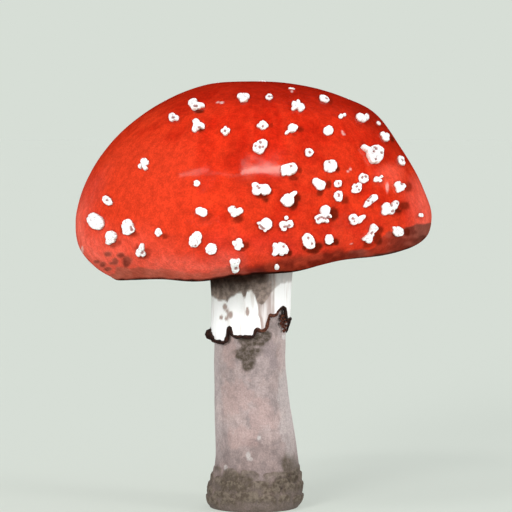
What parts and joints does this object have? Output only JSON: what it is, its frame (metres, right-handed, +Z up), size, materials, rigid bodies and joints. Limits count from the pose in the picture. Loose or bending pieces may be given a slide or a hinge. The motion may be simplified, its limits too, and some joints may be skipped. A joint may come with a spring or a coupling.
{
  "type": "fly agaric mushroom",
  "caption": "Picked toadstool with a domed red cap dotted with pale warts, gills beneath, a torn skirt and a thick stem cut flat to stand on.",
  "frame": {"origin": "centre of the flat cut across the bulb, on the surface that the mushroom stands on", "axes": "+Z up along the stem towards the cap, -Y towards the viewer of the picture, +X to the viewer's right, where the cap's margin is higher"},
  "size_m": [0.1191, 0.1206, 0.1431],
  "materials": {
    "cap_skin": "smooth moist skin, satin, orange-red, with matt white warts",
    "gill_flesh": "matt, cream white",
    "veil": "matt, papery white, brown at the torn hem",
    "stem_flesh": "matt, fibrous, pinkish grey, darker on the bulb"
  },
  "bodies": {
    "root": {"cap": "cap_skin", "gills": "gill_flesh", "skirt": "veil", "stem": "stem_flesh"}
  },
  "joints": []
}
